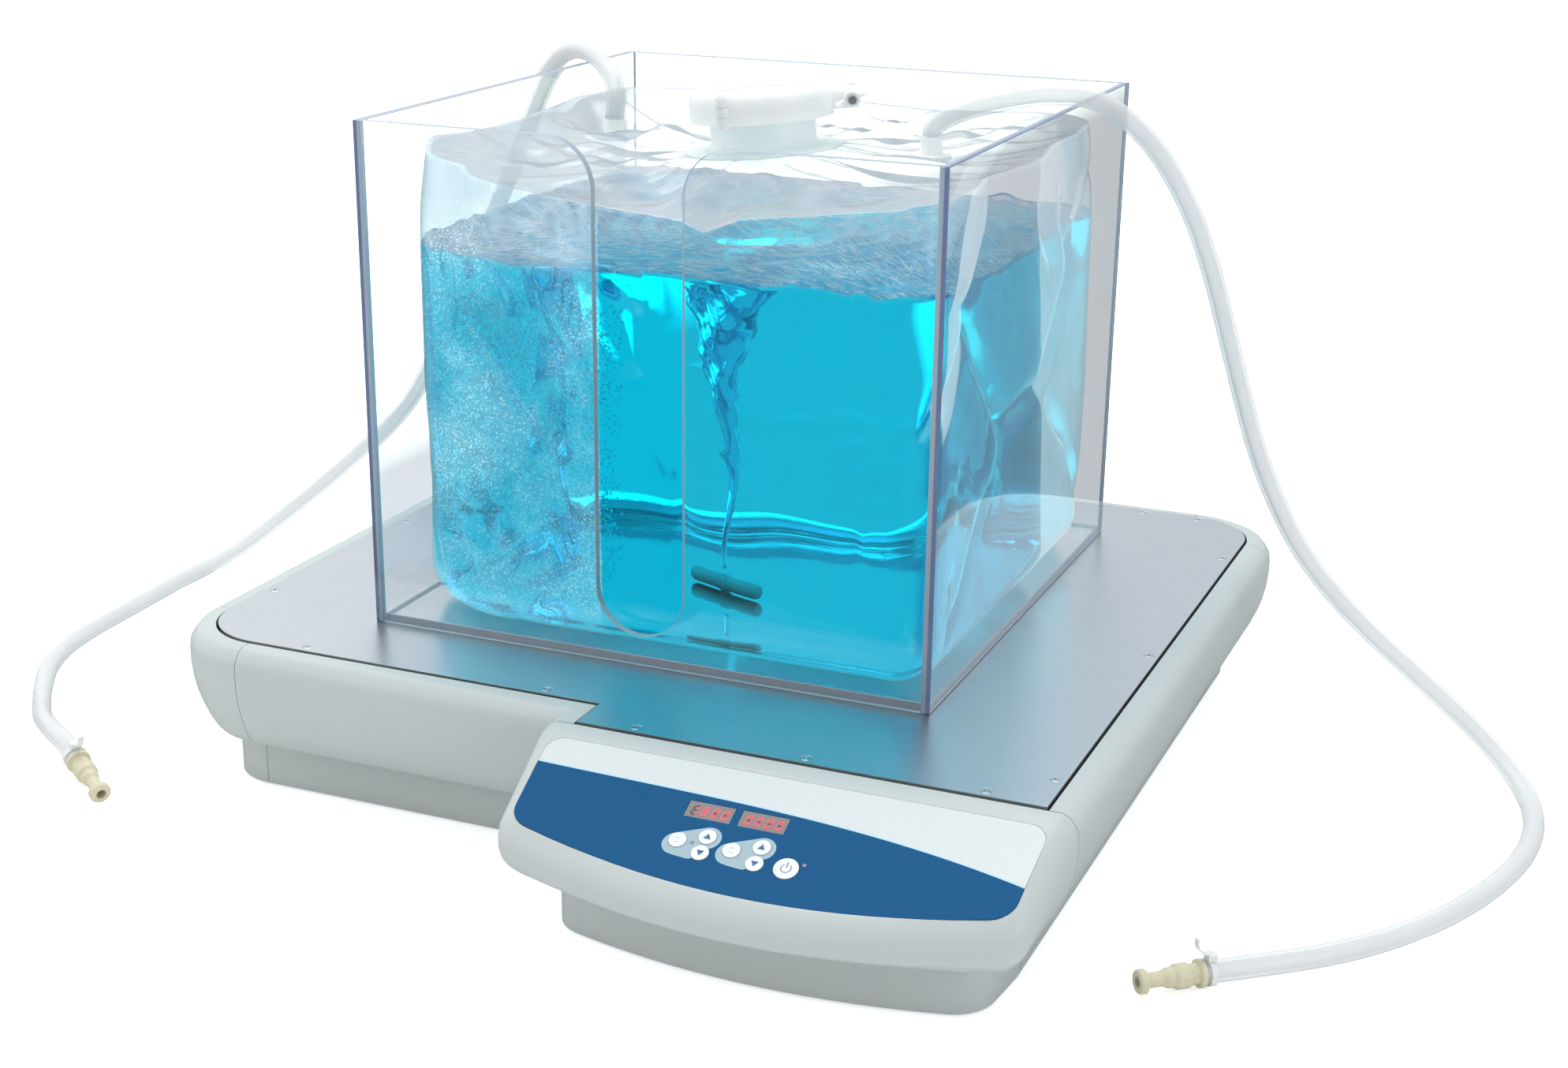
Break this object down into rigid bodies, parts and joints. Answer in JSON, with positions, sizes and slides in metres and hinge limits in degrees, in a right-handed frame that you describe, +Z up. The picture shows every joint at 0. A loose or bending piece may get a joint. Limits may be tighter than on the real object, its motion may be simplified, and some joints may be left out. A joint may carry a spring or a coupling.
{
  "type": "large-volume magnetic stirrer",
  "caption": "Flat magnetic stirrer with a sloping control housing, an open acrylic holder and a liquid-filled mixing bag with a clamped port, a stir bar and free hoses.",
  "frame": {"origin": "on the bench, in the middle of the base's outline from the back moulding to the housing's nose", "axes": "+X to the right, +Y to the back, +Z up; the control housing faces -Y"},
  "size_m": [0.9778, 0.6099, 0.4075],
  "materials": {
    "moulding_grey": "fine satin",
    "plate_steel": "satin",
    "pan_steel": "satin",
    "screw_steel": "polished",
    "foot_rubber": "matte",
    "core_iron": "matte",
    "coil_copper": "enamelled",
    "supply_case": "satin",
    "inlet_black": "satin",
    "board_green": "satin",
    "label_blue": "satin film",
    "display_dark": "smoked",
    "light_lens": "clear",
    "key_white": "satin film",
    "acrylic": "polished",
    "film_clear": "glossy",
    "liquid_cyan": "clear liquid",
    "bar_white": "satin",
    "port_milky": "translucent",
    "gasket_silicone": "satin",
    "clamp_milky": "translucent",
    "pin_steel": "satin",
    "hose_silicone": "translucent",
    "connector_cream": "satin",
    "tie_white": "satin"
  },
  "bodies": {
    "base": {"base_pan": "pan_steel", "front_rail": "moulding_grey", "left_rail": "moulding_grey", "back_rail": "moulding_grey", "right_rail": "moulding_grey", "corner_front_left": "moulding_grey", "corner_back_left": "moulding_grey", "corner_back_right": "moulding_grey", "control_housing": "moulding_grey", "top_plate": "plate_steel", "plate_screws": "screw_steel", "rubber_feet": "foot_rubber", "base_screws": "screw_steel", "drive_yoke": "core_iron", "coil_cores": "core_iron", "drive_coils": "coil_copper", "power_supply": "supply_case", "power_inlet": "inlet_black", "control_board": "board_green", "keypad_label": "label_blue", "speed_display": "display_dark", "time_display": "display_dark", "status_leds": "light_lens"},
    "holder": {"tank_floor": "acrylic", "tank_front": "acrylic", "tank_back": "acrylic", "tank_left": "acrylic", "tank_right": "acrylic"},
    "bag": {"bag_film": "film_clear", "liquid": "liquid_cyan", "port_ferrule": "port_milky", "port_gasket": "gasket_silicone", "port_cap": "port_milky", "clamp_segment_left": "clamp_milky", "clamp_segment_front": "clamp_milky", "clamp_segment_back": "clamp_milky", "clamp_hinge_pins": "pin_steel", "left_port": "port_milky", "right_port": "port_milky", "left_hose": "hose_silicone", "right_hose": "hose_silicone", "left_connector": "connector_cream", "right_connector": "connector_cream", "hose_ties": "tie_white"},
    "stir_bar": {"stir_bar": "bar_white"},
    "clamp_bolt": {"clamp_bolt": "pin_steel"},
    "clamp_wing_nut": {"clamp_wing_nut": "clamp_milky"},
    "speed_mode_key": {"speed_mode_key": "key_white"},
    "speed_up_key": {"speed_up_key": "key_white"},
    "speed_down_key": {"speed_down_key": "key_white"},
    "time_mode_key": {"time_mode_key": "key_white"},
    "time_up_key": {"time_up_key": "key_white"},
    "time_down_key": {"time_down_key": "key_white"},
    "power_key": {"power_key": "key_white"}
  },
  "joints": [
    {"name": "speed_mode_press", "type": "slide", "parent": "base", "child": "speed_mode_key", "axis": [0, 0.4226, -0.9063], "range_m": [0, 0.0004], "stiffness_N_per_m": 1500},
    {"name": "speed_up_press", "type": "slide", "parent": "base", "child": "speed_up_key", "axis": [0, 0.4226, -0.9063], "range_m": [0, 0.0004], "stiffness_N_per_m": 1500},
    {"name": "speed_down_press", "type": "slide", "parent": "base", "child": "speed_down_key", "axis": [0, 0.4226, -0.9063], "range_m": [0, 0.0004], "stiffness_N_per_m": 1500},
    {"name": "time_mode_press", "type": "slide", "parent": "base", "child": "time_mode_key", "axis": [0, 0.4226, -0.9063], "range_m": [0, 0.0004], "stiffness_N_per_m": 1500},
    {"name": "time_up_press", "type": "slide", "parent": "base", "child": "time_up_key", "axis": [0, 0.4226, -0.9063], "range_m": [0, 0.0004], "stiffness_N_per_m": 1500},
    {"name": "time_down_press", "type": "slide", "parent": "base", "child": "time_down_key", "axis": [0, 0.4226, -0.9063], "range_m": [0, 0.0004], "stiffness_N_per_m": 1500},
    {"name": "power_press", "type": "slide", "parent": "base", "child": "power_key", "axis": [0, 0.4226, -0.9063], "range_m": [0, 0.0004], "stiffness_N_per_m": 1500},
    {"name": "holder_lift", "type": "slide", "parent": "base", "child": "holder", "axis": [0, 0, 1], "range_m": [0, 0.3]},
    {"name": "bag_lift", "type": "slide", "parent": "holder", "child": "bag", "axis": [0, 0, 1], "range_m": [0, 0.3]},
    {"name": "stir_spin", "type": "hinge", "parent": "bag", "child": "stir_bar", "pos_m": [0, 0.0535, 0.1078], "axis": [0, 0, 1], "continuous": true},
    {"name": "bolt_swing", "type": "hinge", "parent": "bag", "child": "clamp_bolt", "pos_m": [0.04254, 0.08425, 0.39582], "axis": [-0.0872, 0, 0.9962], "range_deg": [0, 100]},
    {"name": "wing_nut_spin", "type": "hinge", "parent": "clamp_bolt", "child": "clamp_wing_nut", "pos_m": [0.0511, 0.064, 0.39657], "axis": [0.3892, -0.9205, 0.0341], "continuous": true}
  ]
}
